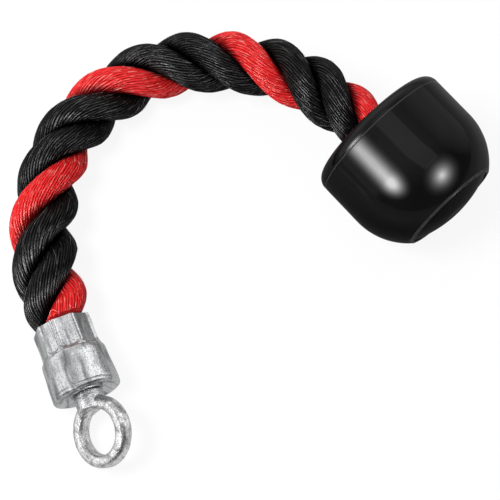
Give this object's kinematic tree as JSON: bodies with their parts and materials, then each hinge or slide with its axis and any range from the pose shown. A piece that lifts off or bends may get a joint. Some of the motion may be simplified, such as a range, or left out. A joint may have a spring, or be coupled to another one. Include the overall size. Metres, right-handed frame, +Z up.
{
  "type": "triceps rope attachment",
  "caption": "Short laid-rope handle for a cable machine, lying in an arch, with a swivel eye in a crimped metal socket at one end and a glossy capped ball stopper at the other.",
  "frame": {"origin": "middle of the object's footprint, on the floor that it lies on", "axes": "+Z up; the arch of the rope opens towards -Y, with the eye end at -X and the ball end at +X"},
  "size_m": [0.206, 0.1947, 0.067],
  "materials": {
    "red_yarn": "glossy twisted polypropylene yarn",
    "black_yarn": "glossy twisted polypropylene yarn",
    "black_plastic": "moulded high gloss",
    "socket_metal": "dull cast and crimped metal",
    "forged_metal": "zinc plated forging",
    "plain_steel": "zinc plated"
  },
  "bodies": {
    "rope_and_ball": {"rope_socket": "socket_metal", "shank_washer": "plain_steel", "strand_red": "red_yarn", "strand_black_a": "black_yarn", "strand_black_b": "black_yarn", "end_ball": "black_plastic", "end_cap": "black_plastic", "stop_washer": "plain_steel", "stop_collar": "socket_metal"},
    "eye": {"swivel_eye": "forged_metal", "eye_washer": "plain_steel", "shank_nut": "plain_steel"}
  },
  "joints": [
    {"name": "eye_swivel", "type": "hinge", "parent": "rope_and_ball", "child": "eye", "pos_m": [-0.06059, -0.08274, 0.01523], "axis": [-0.3746, 0.927, -0.0175], "continuous": true}
  ]
}
